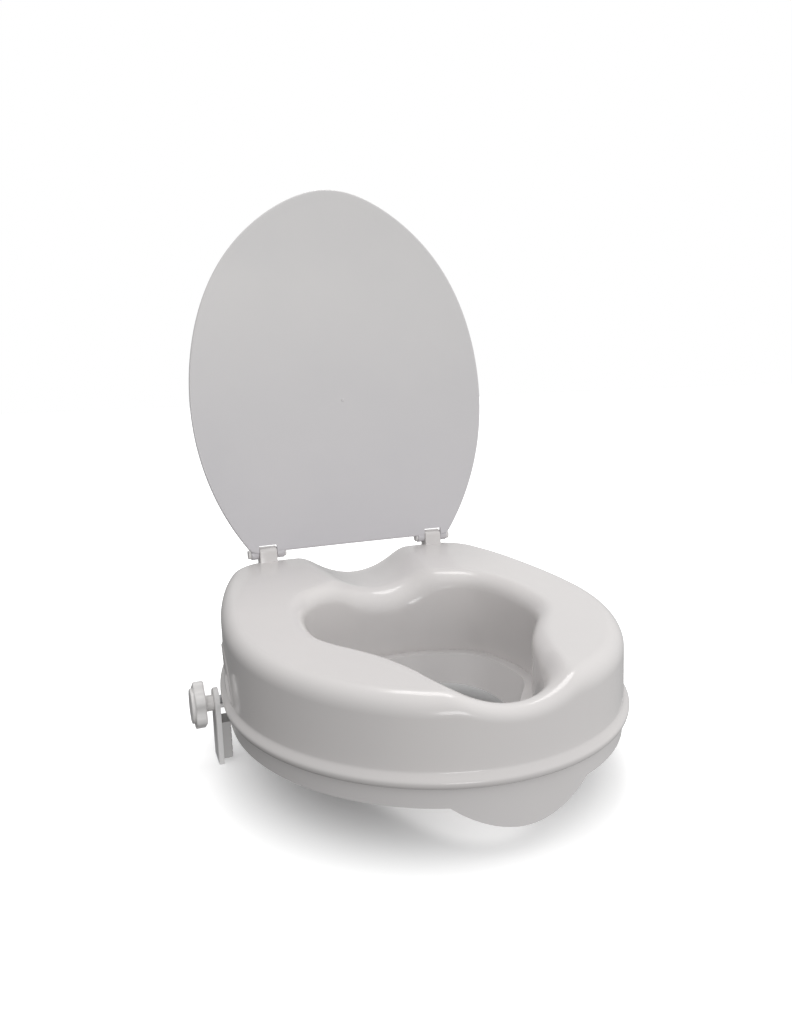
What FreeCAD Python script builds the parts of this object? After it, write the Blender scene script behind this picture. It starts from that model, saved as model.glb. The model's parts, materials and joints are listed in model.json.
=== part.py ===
"""Raised toilet seat with a hinged lid and two hand-screw rim clamps.

Frame: +X to the user's left, -Y to the front, +Z up. The origin is the middle of the wall's
outline, on the plane where the seat rests on the bowl rim. Millimetres and degrees.
The left clamp, hinge and feet are built, and the right ones mirror them.
"""

import FreeCAD, Part
import math
import os
import re
import Sketcher

from FreeCAD import Placement, Rotation, Vector

SIZES = {
    # How far a cutting solid runs past what it cuts
    "cutter_length": 40.0,
    # Wall outline, seen from above
    "wall_half_width": 181.0,
    "front_reach": 206.0,
    "rear_reach": 205.0,
    "side_radius": 480.0,
    "corner_radius": 50.0,
    # Upper shell
    "parting_height": 16.0,
    "bead_height": 13.0,
    "bead_depth": 5.0,
    "bead_round": 4.5,
    "top_height": 96.6,
    "top_slope": 0.07,
    "wall": 3.0,
    "outer_roll": 12.0,
    "inner_roll": 8.0,
    # Dips in the rim, cut as troughs along Y
    "front_dip_radius": 91.5,
    "front_dip_floor": 70.0,
    "rear_dip_radius": 75.0,
    "rear_dip_floor": 87.0,
    "rear_dip_start": 60.0,
    "front_dip_end": -150.0,
    "dip_run": 160.0,
    "clamp_place": 55.0,
    # Arched flat recess over each clamp
    "arch_place": 40.0,
    "arch_half_width": 46.0,
    "arch_foot": 25.0,
    "arch_spring": 33.0,
    "arch_top": 66.0,
    "arch_floor": 174.0,
    # Base ring
    "skirt_inset": 1.0,
    "plate_bottom": 3.0,
    "plate_thickness": 1.8,
    "chute_bottom": -12.0,
    "ledge_width": 11.0,
    "ledge_thickness": 3.0,
    "splash_half_width": 58.0,
    "splash_depth": 21.0,
    # Lid and hinges
    "hinge_place": 199.0,
    "hinge_height": 119.3,
    "hinge_middle": 102.0,
    "lug_width": 20.0,
    "lug_radius": 8.0,
    "lug_depth": 20.0,
    "ear_width": 8.5,
    "ear_gap": 0.4,
    "ear_radius": 7.5,
    "ear_root": 6.0,
    "pin_radius": 3.0,
    "pin_clearance": 0.05,
    "pin_play": 0.2,
    "pin_head_radius": 5.0,
    "pin_head_length": 2.0,
    "pin_cap_length": 3.0,
    "lid_half_width": 175.5,
    "lid_half_length": 240.0,
    "lid_middle": 170.0,
    "lid_corner": 13.0,
    "lid_thickness": 3.5,
    "lid_dome": 8.2,
    "lid_dome_ratio": 2.5,
    "lid_edge": 6.5,
    "lid_notch": 9.5,
    "lid_open_angle": 94.2,
    # Clamps, measured outward from the middle plane
    "screw_height": 10.2,
    "bracket_face": 185.5,
    "bracket_thickness": 5.0,
    "bracket_width": 28.0,
    "bracket_bottom": -47.0,
    "bracket_round": 1.5,
    "pad_thickness": 9.0,
    "pad_top": -7.0,
    "pad_height": 36.0,
    "pad_width": 22.0,
    "pad_groove_radius": 1.2,
    "pad_groove_margin": 6.0,
    "peg_radius": 2.0,
    "peg_offset": 11.0,
    "peg_length": 24.0,
    "peg_clearance": 0.3,
    "screw_radius": 5.0,
    "screw_clearance": 0.06,
    "screw_tip": 150.0,
    "screw_lead": 1.0,
    "screw_root": 204.5,
    "shank_radius": 7.5,
    "shank_gap": 0.1,
    "knob_inner": 198.5,
    "knob_thickness": 10.0,
    "knob_radius": 22.8,
    "knob_round": 1.6,
    "knob_lobes": 6.0,
    "lobe_radius": 7.5,
    "valley_radius": 19.0,
    "cap_radius": 16.5,
    "cap_seat": 2.0,
    "cap_thickness": 5.0,
    "cap_round": 1.2,
    "nut_inner": 163.0,
    "nut_length": 11.0,
    "nut_flats": 13.0,
    "boss_inner": 160.0,
    "boss_width": 32.0,
    "boss_bottom": 1.0,
    "boss_height": 18.5,
    "retainer_radius": 6.0,
    "retainer_thickness": 1.6,
    "retainer_gap": 0.1,
    # Rubber feet, and the screws that hold the two mouldings together
    "foot_length": 46.0,
    "foot_width": 14.0,
    "foot_round": 5.0,
    "foot_groove_radius": 1.0,
    "foot_groove_margin": 9.0,
    "post_radius": 5.0,
    "post_sink": 1.5,
    "fixing_radius": 2.0,
    "fixing_clearance": 0.2,
    "fixing_head_radius": 3.8,
    "fixing_head_height": 2.2,
    "fixing_length": 16.0,
}

# Half outline of the aperture's edge from the rear to the front, each point (x, y)
APERTURE = [
    (0, 88), (30, 87), (60, 77), (87, 62), (102, 34), (108, -8), (104, -42),
    (85, -72), (66, -100), (52, -132), (39, -163), (22, -179), (0, -184),
]
# The chute's bottom edge, with a point for each one of the aperture's
CHUTE = [
    (0, 66), (22, 65), (44, 58), (62, 45), (76, 24), (82, -8), (80, -42),
    (70, -75), (59, -102), (47, -130), (33, -152), (17, -164), (0, -168),
]
# Feet and fixing posts on the left half: (x, y) and, for a foot, its turn about Z
FEET = {"front": (88, -140, 52), "rear": (112, 138, -52)}
POSTS = [(62, -172), (132, -78), (150, 92), (76, 152)]

# The top face's edges lie outside or inside this share of the wall's outline
INNER_SHARE = 0.925
# The splash lip's shoulders, as shares of its half width and depth
LIP_SHOULDER = (0.6, 0.64)
# Half the length of a hinge pin between its head and its cap
PIN_HALF = "(lug_width / 2 + ear_gap + ear_width + pin_play)"
# Grooves across each rubber jaw and foot
GROOVES = 5

X_AXIS, Y_AXIS, Z_AXIS = Vector(1, 0, 0), Vector(0, 1, 0), Vector(0, 0, 1)

doc = FreeCAD.newDocument("raised_toilet_seat")
sheet = doc.addObject("Spreadsheet::Sheet", "Sizes")
for row, (alias, value) in enumerate(SIZES.items(), start=1):
    sheet.set(f"A{row}", alias)
    sheet.set(f"B{row}", str(value))
    sheet.setAlias(f"B{row}", alias)
doc.recompute()


def size(alias):
    return float(sheet.get(alias))


def bind(target, prop, formula):
    """Tie a property to a formula of the sheet's aliases, written bare, and numbers."""
    target.setExpression(prop, re.sub(r"[a-z_]+", r"Sizes.\g<0>", formula))


def bind_place(target, x="0", y="0", z="0", prop="Placement"):
    for letter, formula in zip("xyz", (x, y, z)):
        bind(target, f".{prop}.Base.{letter}", formula)


# ---- Part primitives and booleans -------------------------------------------------------------

def box(name, length, width, height, x, y, z):
    made = doc.addObject("Part::Box", name)
    bind(made, "Length", length)
    bind(made, "Width", width)
    bind(made, "Height", height)
    bind_place(made, x, y, z)
    return made


def rod(name, radius, length, x, y, z, along="Z"):
    made = doc.addObject("Part::Cylinder", name)
    bind(made, "Radius", radius)
    bind(made, "Height", length)
    turn = {"X": Rotation(Y_AXIS, 90), "Y": Rotation(X_AXIS, -90), "Z": Rotation()}
    made.Placement = Placement(Vector(), turn[along])
    bind_place(made, x, y, z)
    return made


def fuse(name, pieces):
    made = doc.addObject("Part::MultiFuse", name)
    made.Shapes = pieces
    made.Refine = True
    return made


def cut(name, base, tools):
    made = doc.addObject("Part::Cut", name)
    made.Base = base
    made.Tool = tools[0] if len(tools) == 1 else fuse(name + "_tools", tools)
    return made


def common(name, pieces):
    made = doc.addObject("Part::MultiCommon", name)
    made.Shapes = pieces
    return made


def mirror(source, name):
    made = doc.addObject("Part::Mirroring", name)
    made.Source = source
    made.Normal = X_AXIS
    return made


def both(source):
    """A left-hand helper solid together with its mirror image."""
    return [source, mirror(source, source.Name + "_mirror")]


# ---- PartDesign helpers -----------------------------------------------------------------------

def new_body(name):
    return doc.addObject("PartDesign::Body", name)


def new_sketch(body, name, role, x="0", y="0", z="0"):
    sketch = body.newObject("Sketcher::SketchObject", name)
    plane = next(item for item in body.Origin.OriginFeatures if item.Role == role)
    sketch.AttachmentSupport = [(plane, "")]
    sketch.MapMode = "FlatFace"
    bind_place(sketch, x, y, z, prop="AttachmentOffset")
    return sketch


def draw(sketch, curves):
    """Add a freeform outline and hold it where its formula puts it."""
    for number, curve in enumerate(curves):
        sketch.addGeometry(curve, False)
        sketch.addConstraint(Sketcher.Constraint("Block", number))


def draw_circle(sketch, radius):
    sketch.addGeometry(Part.Circle(Vector(), Z_AXIS, 10), False)
    sketch.addConstraint(Sketcher.Constraint("Coincident", 0, 3, -1, 1))
    sketch.addConstraint(Sketcher.Constraint("Radius", 0, 10))
    sketch.renameConstraint(1, "round")
    bind(sketch, "Constraints.round", radius)


def draw_rectangle(sketch, width, height):
    """A rectangle about the sketch's origin."""
    corners = [Vector(-5, -5, 0), Vector(5, -5, 0), Vector(5, 5, 0), Vector(-5, 5, 0)]
    for start, end in zip(corners, corners[1:] + corners[:1]):
        sketch.addGeometry(Part.LineSegment(start, end), False)
    for edge in range(4):
        sketch.addConstraint(Sketcher.Constraint("Coincident", edge, 2, (edge + 1) % 4, 1))
    for edge, kind in enumerate(("Horizontal", "Vertical", "Horizontal", "Vertical")):
        sketch.addConstraint(Sketcher.Constraint(kind, edge))
    sketch.addConstraint(Sketcher.Constraint("Symmetric", 0, 1, 2, 1, -1, 1))
    wide = sketch.addConstraint(Sketcher.Constraint("DistanceX", 0, 1, 0, 2, 10))
    tall = sketch.addConstraint(Sketcher.Constraint("DistanceY", 1, 1, 1, 2, 10))
    sketch.renameConstraint(wide, "wide")
    sketch.renameConstraint(tall, "tall")
    bind(sketch, "Constraints.wide", width)
    bind(sketch, "Constraints.tall", height)


def pad(body, sketch, length, name):
    made = body.newObject("PartDesign::Pad", name)
    made.Profile = sketch
    bind(made, "Length", length)
    return made


def pocket(body, sketch, name, length=None, both_ways=False):
    """A pocket of a given length against the sketch's normal, or through everything."""
    before = body.Tip.Shape.Volume if doc.recompute() else 0
    made = body.newObject("PartDesign::Pocket", name)
    made.Profile = sketch
    if length is None:
        made.Type = "ThroughAll"
    else:
        bind(made, "Length", length)
    made.Midplane = both_ways
    doc.recompute()
    if before and made.Shape.Volume > before - 1:
        raise RuntimeError(f"{name} cuts nothing")
    return made


def fillet(body, feature, edges, radius, name):
    made = body.newObject("PartDesign::Fillet", name)
    made.Base = (feature, edges)
    bind(made, "Radius", radius)
    return made


def edges_where(feature, test):
    """Names of the feature's edges whose middle point passes the test."""
    doc.recompute()
    names = []
    for number, edge in enumerate(feature.Shape.Edges, start=1):
        middle = edge.valueAt((edge.FirstParameter + edge.LastParameter) / 2)
        if test(middle, edge):
            names.append(f"Edge{number}")
    return names


# ---- Outlines ---------------------------------------------------------------------------------

def wall_outline(inset):
    """Half an ellipse in front, two long side arcs, two corner arcs and a straight rear."""
    half = size("wall_half_width") - inset
    front = size("front_reach") - inset
    rear = size("rear_reach") - inset
    side = size("side_radius") - inset
    corner = size("corner_radius") - inset
    side_x = half - side
    corner_y = rear - corner
    corner_x = side_x + math.sqrt((side - corner) ** 2 - corner_y ** 2)
    meet = math.atan2(corner_y, corner_x - side_x)
    quarter = math.pi / 2
    ellipse = Part.Ellipse(Vector(0, -front, 0), Vector(half, 0, 0), Vector())
    left_side = Part.Circle(Vector(side_x, 0, 0), Z_AXIS, side)
    left_corner = Part.Circle(Vector(corner_x, corner_y, 0), Z_AXIS, corner)
    right_corner = Part.Circle(Vector(-corner_x, corner_y, 0), Z_AXIS, corner)
    right_side = Part.Circle(Vector(-side_x, 0, 0), Z_AXIS, side)
    return [
        Part.ArcOfEllipse(ellipse, -quarter, quarter),
        Part.ArcOfCircle(left_side, 0, meet),
        Part.ArcOfCircle(left_corner, meet, quarter),
        Part.LineSegment(Vector(corner_x, rear, 0), Vector(-corner_x, rear, 0)),
        Part.ArcOfCircle(right_corner, quarter, math.pi - meet),
        Part.ArcOfCircle(right_side, math.pi - meet, math.pi),
    ]


def closed_spline(half_points, grow=0.0):
    """A closed curve through a half outline and its mirror image, moved outward by grow."""
    mirrored = [(-x, y) for x, y in reversed(half_points[1:-1])]
    points = [Vector(x, y, 0) for x, y in half_points + mirrored]
    moved = []
    for number, point in enumerate(points):
        along = points[(number + 1) % len(points)] - points[number - 1]
        outward = Vector(-along.y, along.x, 0).normalize()
        moved.append(point + outward * grow)
    curve = Part.BSplineCurve()
    curve.interpolate(Points=moved, PeriodicFlag=True)
    return curve


# ---- Upper shell ------------------------------------------------------------------------------

def rim_block(name, inset, bottom, outer_roll, inner_roll):
    """The seat's solid outside, or with an inset its hollow: wall, sloped top and aperture."""
    body = new_body(name)
    outline = new_sketch(body, name + "_outline", "XY_Plane", z=bottom)
    draw(outline, wall_outline(inset))
    tall = pad(body, outline, "top_height * 1.5", name + "_wall")

    def top_at(y):
        return size("top_height") + size("top_slope") * y - inset

    reach = size("front_reach") * 1.5
    slope = new_sketch(body, name + "_slope", "YZ_Plane")
    corners = [
        Vector(-reach, top_at(-reach), 0), Vector(reach, top_at(reach), 0),
        Vector(reach, reach, 0), Vector(-reach, reach, 0),
    ]
    draw(slope, [Part.LineSegment(a, b) for a, b in zip(corners, corners[1:] + corners[:1])])
    pocket(body, slope, name + "_top", both_ways=True)

    hole = new_sketch(body, name + "_hole", "XY_Plane", z="top_height * 1.5")
    draw(hole, [closed_spline(APERTURE, inset)])
    opened = pocket(body, hole, name + "_aperture", both_ways=True)

    def on_top(middle):
        return abs(middle.z - top_at(middle.y)) < 0.5

    def from_middle(middle):
        return math.hypot(middle.x / size("wall_half_width"), middle.y / size("front_reach"))

    outer = edges_where(opened, lambda p, e: on_top(p) and from_middle(p) > INNER_SHARE)
    rolled = fillet(body, opened, outer, outer_roll, name + "_outer_roll")
    inner = edges_where(rolled, lambda p, e: on_top(p) and from_middle(p) < INNER_SHARE)
    fillet(body, rolled, inner, inner_roll, name + "_inner_roll")
    return body


def dip(name, radius, floor, start, grow):
    """A trough along Y: a round rod whose lowest line is the dip's floor."""
    return rod(
        name, f"{radius} + {grow}", "dip_run", "0", start, f"{floor} + {radius}", along="Y"
    )


def dipped_rim(name, inset, bottom, outer_roll, inner_roll):
    block = rim_block(name, inset, bottom, outer_roll, inner_roll)
    front = dip(name + "_front_dip", "front_dip_radius", "front_dip_floor",
                "front_dip_end - dip_run", inset)
    rear = dip(name + "_rear_dip", "rear_dip_radius", "rear_dip_floor", "rear_dip_start", inset)
    return cut(name + "_dipped", block, [front, rear])


def bead_body():
    """The half-round bead around the bottom of the upper shell."""
    body = new_body("bead")
    outline = new_sketch(body, "bead_outline", "XY_Plane", z="parting_height")
    draw(outline, wall_outline(-size("bead_depth")))
    ring = pad(body, outline, "bead_height", "bead_ring")
    names = edges_where(ring, lambda p, e: abs(e.tangentAt(e.FirstParameter).z) < 0.5)
    fillet(body, ring, names, "bead_round", "bead_rounding")
    hole = new_sketch(body, "bead_hole", "XY_Plane", z="parting_height + bead_height")
    draw(hole, wall_outline(size("wall")))
    pocket(body, hole, "bead_opening", both_ways=True)
    return body


def arch_prism(name, grow, inner):
    """An upright arch, flat at the foot, extruded outward along X beside the clamp."""
    body = new_body(name)
    half = size("arch_half_width") + grow
    middle = size("arch_place")
    foot = size("arch_foot") - grow
    spring = size("arch_spring") - grow
    top = size("arch_top") + grow
    sketch = new_sketch(body, name + "_outline", "YZ_Plane", z=inner)
    crown = Part.Arc(
        Vector(middle - half, spring, 0), Vector(middle, top, 0), Vector(middle + half, spring, 0)
    )
    draw(sketch, [
        Part.LineSegment(Vector(middle - half, foot, 0), Vector(middle - half, spring, 0)),
        crown,
        Part.LineSegment(Vector(middle + half, spring, 0), Vector(middle + half, foot, 0)),
        Part.LineSegment(Vector(middle + half, foot, 0), Vector(middle - half, foot, 0)),
    ])
    pad(body, sketch, "cutter_length", name + "_pad")
    return body


def seat_shell():
    outside = dipped_rim("rim", 0.0, "parting_height", "outer_roll", "inner_roll")
    inside = dipped_rim(
        "core", size("wall"), "parting_height - 1", "outer_roll - wall", "inner_roll - wall"
    )
    backing = common("arch_backing", [
        arch_prism("arch_outer", size("wall"), "arch_floor - wall"), outside,
    ])
    recess = arch_prism("arch_recess", 0.0, "arch_floor")
    lug_foot = box(
        "lug_foot", "lug_width", "2 * lug_radius", "lug_depth",
        "hinge_middle - lug_width / 2", "hinge_place - lug_radius", "hinge_height - lug_depth",
    )
    lug_eye = rod(
        "lug_eye", "lug_radius", "lug_width",
        "hinge_middle - lug_width / 2", "hinge_place", "hinge_height", along="X",
    )
    pin_hole = rod(
        "lug_hole", "pin_radius + pin_clearance", "2 * lug_width",
        "hinge_middle - lug_width", "hinge_place", "hinge_height", along="X",
    )
    posts, pilots = [], []
    for number, (x, y) in enumerate(POSTS, start=1):
        height = f"top_height + top_slope * {y} - plate_bottom - plate_thickness - post_sink"
        posts += both(rod(f"post_{number}", "post_radius", height, str(x), str(y),
                          "plate_bottom + plate_thickness"))
        pilots += both(rod(f"pilot_{number}", "fixing_radius", "fixing_length", str(x), str(y),
                           "plate_bottom"))
    hollow = cut("hollow_shell", outside, [inside])
    solid = fuse("shell_with_fittings", [
        hollow, bead_body(), *both(backing), *both(lug_foot), *both(lug_eye), *posts,
    ])
    return cut("seat_shell", solid, [*both(recess), *both(pin_hole), *pilots])


# ---- Base ring --------------------------------------------------------------------------------

def ring(name, outer, inner, bottom, height):
    """A flat or upright ring between two sets of closed curves."""
    body = new_body(name)
    outline = new_sketch(body, name + "_outside", "XY_Plane", z=bottom)
    draw(outline, outer)
    pad(body, outline, height, name + "_pad")
    hole = new_sketch(body, name + "_inside", "XY_Plane", z=f"{bottom} + {height}")
    draw(hole, inner)
    pocket(body, hole, name + "_hole", both_ways=True)
    return body


def chute_funnel(name, grow, spare):
    """The tapered tube that reaches into the bowl, as a loft between its two edges."""
    top = size("parting_height") + spare
    bottom = size("chute_bottom") - spare
    upper = closed_spline(APERTURE, grow - size("ledge_width")).toShape()
    lower = closed_spline(CHUTE, grow).toShape()
    upper.translate(Vector(0, 0, top))
    lower.translate(Vector(0, 0, bottom))
    made = doc.addObject("Part::Feature", name)
    made.Shape = Part.makeLoft([Part.Wire(upper), Part.Wire(lower)], True, True)
    return made


def splash_lip():
    """The bell-shaped guard that hangs from the front of the skirt."""
    curtain = ring(
        "lip_curtain", wall_outline(size("skirt_inset")),
        wall_outline(size("skirt_inset") + size("wall")), "-splash_depth * 1.1",
        "splash_depth * 1.1 + plate_bottom * 2",
    )
    half, depth = size("splash_half_width"), size("splash_depth")
    bell = new_body("lip_bell")
    shoulder, fall = half * LIP_SHOULDER[0], -depth * LIP_SHOULDER[1]
    top = size("plate_bottom")
    sketch = new_sketch(bell, "lip_bell_outline", "XZ_Plane")
    curve = Part.BSplineCurve()
    curve.interpolate(Points=[
        Vector(-half, 0, 0), Vector(-shoulder, fall, 0), Vector(0, -depth, 0),
        Vector(shoulder, fall, 0), Vector(half, 0, 0),
    ])
    draw(sketch, [
        curve,
        Part.LineSegment(Vector(half, 0, 0), Vector(half, top, 0)),
        Part.LineSegment(Vector(half, top, 0), Vector(-half, top, 0)),
        Part.LineSegment(Vector(-half, top, 0), Vector(-half, 0, 0)),
    ])
    pad(bell, sketch, "front_reach * 1.5", "lip_bell_pad")
    return common("splash_lip", [curtain, bell])


def base_ring():
    inset, wall = size("skirt_inset"), size("wall")
    skirt = ring("skirt", wall_outline(inset), wall_outline(inset + wall), "0",
                 "parting_height")
    plate = ring("rest_plate", wall_outline(inset + wall / 2), [closed_spline(CHUTE)],
                 "plate_bottom", "plate_thickness")
    ledge = ring(
        "ledge", [closed_spline(APERTURE, wall)], [closed_spline(CHUTE)],
        "parting_height - ledge_thickness", "ledge_thickness",
    )
    funnel = chute_funnel("chute_outside", wall, 0.0)
    bore = chute_funnel("chute_inside", 0.0, 0.5)
    boss = box(
        "nut_boss", "bracket_face - boss_inner", "boss_width", "boss_height", "boss_inner",
        "clamp_place - boss_width / 2", "boss_bottom",
    )
    outline = new_body("boss_limit")
    limit = new_sketch(outline, "boss_limit_outline", "XY_Plane", z="0")
    draw(limit, wall_outline(inset + wall / 2))
    pad(outline, limit, "cutter_length", "boss_limit_pad")
    boss = common("boss_inside_skirt", [boss, outline])
    shelf = box(
        "boss_shelf_gap", "cutter_length", "boss_width * 2", "cutter_length",
        "arch_floor - wall - 1",
        "clamp_place - boss_width", "parting_height",
    )
    boss = cut("nut_boss_trimmed", boss, [shelf])

    nut_seat = nut_prism("nut_seat", "boss_inner - 1", "nut_length + nut_inner - boss_inner + 1")
    screw_hole = rod(
        "screw_way", "screw_radius + peg_clearance", "cutter_length", "boss_inner - 1",
        "clamp_place", "screw_height", along="X",
    )
    holes = [*both(nut_seat), *both(screw_hole)]
    for number, sign in enumerate(("-", "+"), start=1):
        holes += both(rod(
            f"peg_way_{number}", "peg_radius + peg_clearance", "cutter_length", "boss_inner - 1",
            f"clamp_place {sign} peg_offset", "screw_height", along="X",
        ))
    for number, (x, y) in enumerate(POSTS, start=1):
        holes += both(rod(f"fixing_way_{number}", "fixing_radius + fixing_clearance",
                          "cutter_length", str(x), str(y), "0"))
    solid = fuse("base_solid", [skirt, plate, ledge, funnel, splash_lip(), *both(boss)])
    return cut("base_ring", solid, [bore, *holes])


def nut_prism(name, inner, length):
    """A hexagonal prism along X with two flats level."""
    made = doc.addObject("Part::Prism", name)
    made.Polygon = 6
    bind(made, "Circumradius", f"nut_flats / {math.sqrt(3)}")
    bind(made, "Height", length)
    made.Placement = Placement(Vector(), Rotation(Y_AXIS, 90) * Rotation(Z_AXIS, 90))
    bind_place(made, inner, "clamp_place", "screw_height")
    return made


# ---- Lid and hinges ---------------------------------------------------------------------------

def dome(name, rise):
    """An ellipsoid whose cap is the lid's crown, raised by the given height."""
    made = doc.addObject("Part::Ellipsoid", name)
    drop = 1 - math.sqrt(1 - 1 / size("lid_dome_ratio") ** 2)
    bind(made, "Radius1", f"lid_dome / {drop}")
    bind(made, "Radius2", "lid_half_width * lid_dome_ratio")
    bind(made, "Radius3", "lid_half_length * lid_dome_ratio")
    bind_place(made, "0", "-lid_middle", f"{rise} - lid_dome / {drop}")
    return made


def lid():
    """Drawn shut and level about the hinge axis, then swung up to where it stands open."""
    panel = new_body("lid_blank")
    outline = new_sketch(panel, "lid_outline", "XY_Plane", y="-lid_middle",
                         z="-cutter_length / 2")
    oval = Part.Ellipse(
        Vector(0, size("lid_half_length"), 0), Vector(size("lid_half_width"), 0, 0), Vector()
    )
    draw(outline, [oval])
    blank = pad(panel, outline, "cutter_length", "lid_pad")
    tail = new_sketch(panel, "lid_tail", "XY_Plane", y="lid_half_length / 2 - lid_edge",
                      z="cutter_length / 2")
    draw_rectangle(tail, "lid_half_width * 3", "lid_half_length")
    trimmed = pocket(panel, tail, "lid_straight_edge", both_ways=True)
    corners = edges_where(
        trimmed, lambda p, e: p.y > -size("lid_notch") and abs(e.tangentAt(e.FirstParameter).z) > 0.9
    )
    fillet(panel, trimmed, corners, "lid_corner", "lid_corners")
    crown = common("lid_crown", [panel, dome("dome_top", "lid_thickness")])
    sheet_part = cut("lid_panel", crown, [dome("dome_underside", "0")])

    ears = []
    reach = "(lug_width / 2 + ear_gap)"
    for side, start in (("inner", f"hinge_middle - {reach} - ear_width"),
                        ("outer", f"hinge_middle + {reach}")):
        arm = box(f"ear_arm_{side}", "ear_width", "lid_notch + ear_root", "ear_radius - 1",
                  start, "-lid_notch - ear_root", "-lid_dome")
        eye = rod(f"ear_eye_{side}", "ear_radius", "ear_width", start, "0", "0", along="X")
        ears += [*both(arm), *both(eye)]
    notch = box("lug_notch", "lug_width + 2 * ear_gap", "lid_notch * 2", "cutter_length",
                f"hinge_middle - {reach}", "-lid_notch", "-cutter_length / 2")
    pin_hole = rod("ear_hole", "pin_radius + pin_clearance", "lug_width * 3",
                   "hinge_middle - lug_width * 1.5", "0", "0", along="X")
    solid = fuse("lid_solid", [cut("lid_notched", sheet_part, both(notch)), *ears])
    made = cut("lid", solid, both(pin_hole))
    made.Placement = Placement(Vector(), Rotation(X_AXIS, -size("lid_open_angle")))
    bind_place(made, "0", "hinge_place", "hinge_height")
    return made


def hinge_pin():
    """A headed pin through the lug and both ears."""
    shaft = rod("pin_shaft", "pin_radius", f"2 * {PIN_HALF} + pin_cap_length - 1",
                f"hinge_middle - {PIN_HALF}", "hinge_place", "hinge_height", along="X")
    head = rod("pin_head", "pin_head_radius", "pin_head_length",
               f"hinge_middle - {PIN_HALF} - pin_head_length", "hinge_place", "hinge_height",
               along="X")
    return fuse("hinge_pin_left", [shaft, head])


def hinge_cap():
    """The push-on cap that keeps the pin in, outside the outer ear."""
    outside = rod("cap_outside", "pin_head_radius", "pin_cap_length",
                  f"hinge_middle + {PIN_HALF}", "hinge_place", "hinge_height", along="X")
    inside = rod("cap_inside", "pin_radius", "pin_cap_length - 1",
                 f"hinge_middle + {PIN_HALF}", "hinge_place", "hinge_height", along="X")
    return cut("hinge_cap_left", outside, [inside])


# ---- Clamps -----------------------------------------------------------------------------------

def clamp_bracket():
    """A flat bar with a rounded head around the screw, and two pegs that stop it turning."""
    body = new_body("bracket_bar")
    half = size("bracket_width") / 2
    middle, top = size("clamp_place"), size("screw_height")
    bottom = size("bracket_bottom")
    sketch = new_sketch(body, "bracket_outline", "YZ_Plane", z="bracket_face")
    draw(sketch, [
        Part.ArcOfCircle(Part.Circle(Vector(middle, top, 0), Z_AXIS, half), 0, math.pi),
        Part.LineSegment(Vector(middle - half, top, 0), Vector(middle - half, bottom, 0)),
        Part.LineSegment(Vector(middle - half, bottom, 0), Vector(middle + half, bottom, 0)),
        Part.LineSegment(Vector(middle + half, bottom, 0), Vector(middle + half, top, 0)),
    ])
    bar = pad(body, sketch, "bracket_thickness", "bracket_pad")
    face = size("bracket_face") + size("bracket_thickness")
    outer = edges_where(bar, lambda p, e: abs(p.x - face) < 0.01)
    rounded = fillet(body, bar, outer, "bracket_round", "bracket_edges")
    hole = new_sketch(
        body, "bracket_screw_hole", "YZ_Plane", "clamp_place", "screw_height",
        "bracket_face + bracket_thickness",
    )
    draw_circle(hole, "screw_radius + screw_clearance")
    pocket(body, hole, "bracket_hole", both_ways=True)
    pegs = [
        rod(f"guide_peg_{number}", "peg_radius", "peg_length + 1", "bracket_face - peg_length",
            f"clamp_place {sign} peg_offset", "screw_height", along="X")
        for number, sign in enumerate(("-", "+"), start=1)
    ]
    return fuse("clamp_bracket_left", [body, *pegs])


def clamp_pad():
    """The ribbed rubber jaw that bears on the outside of the bowl rim."""
    body = new_body("clamp_pad_left")
    sketch = new_sketch(body, "pad_outline", "YZ_Plane", "clamp_place",
                        "pad_top - pad_height / 2", "bracket_face - pad_thickness")
    draw_rectangle(sketch, "pad_width", "pad_height")
    block = pad(body, sketch, "pad_thickness", "pad_block")
    inner = size("bracket_face") - size("pad_thickness")
    names = edges_where(block, lambda p, e: abs(p.x - inner) < 0.01)
    fillet(body, block, names, "bracket_round", "pad_edges")
    groove = new_sketch(body, "pad_groove_outline", "XZ_Plane",
                        "bracket_face - pad_thickness", "pad_top - pad_groove_margin", "0")
    draw_circle(groove, "pad_groove_radius")
    first = pocket(body, groove, "pad_groove", both_ways=True)
    row_of = body.newObject("PartDesign::LinearPattern", "pad_grooves")
    row_of.Originals = [first]
    row_of.Direction = (groove, ["V_Axis"])
    row_of.Reversed = True
    bind(row_of, "Length", "pad_height - 2 * pad_groove_margin")
    row_of.Occurrences = GROOVES
    body.Tip = row_of
    return body


def on_screw_axis(body, x="0"):
    """Stand a body that is drawn along Z on the clamp's screw axis, outward."""
    body.Placement = Placement(Vector(), Rotation(Y_AXIS, 90))
    bind_place(body, x, "clamp_place", "screw_height")


def lobed_outline():
    """Round lobes joined by hollow arcs, all tangent."""
    lobes = int(size("knob_lobes"))
    lobe = size("lobe_radius")
    reach = size("knob_radius") - lobe
    valley = size("valley_radius")
    half_turn = math.pi / lobes
    # The hollow's radius that touches both lobes and bottoms out at the valley's radius
    across = 2 * reach * math.cos(half_turn)
    hollow = (reach ** 2 + valley ** 2 - across * valley - lobe ** 2) / (
        2 * lobe - 2 * valley + across
    )
    outer = valley + hollow
    curves = []
    for number in range(lobes):
        turn = 2 * half_turn * number
        crest = Vector(reach * math.cos(turn), reach * math.sin(turn), 0)
        dip_turn = turn + half_turn
        dip_at = Vector(outer * math.cos(dip_turn), outer * math.sin(dip_turn), 0)
        towards = dip_at - crest
        lean = math.atan2(towards.y, towards.x) - turn
        curves.append(Part.ArcOfCircle(
            Part.Circle(crest, Z_AXIS, lobe), turn - lean, turn + lean
        ))
        spread = (-dip_at).getAngle(-towards)
        inward = dip_turn + math.pi
        curves.append(Part.ArcOfCircle(
            Part.Circle(dip_at, Z_AXIS, hollow), inward - spread, inward + spread
        ))
    return curves


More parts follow.
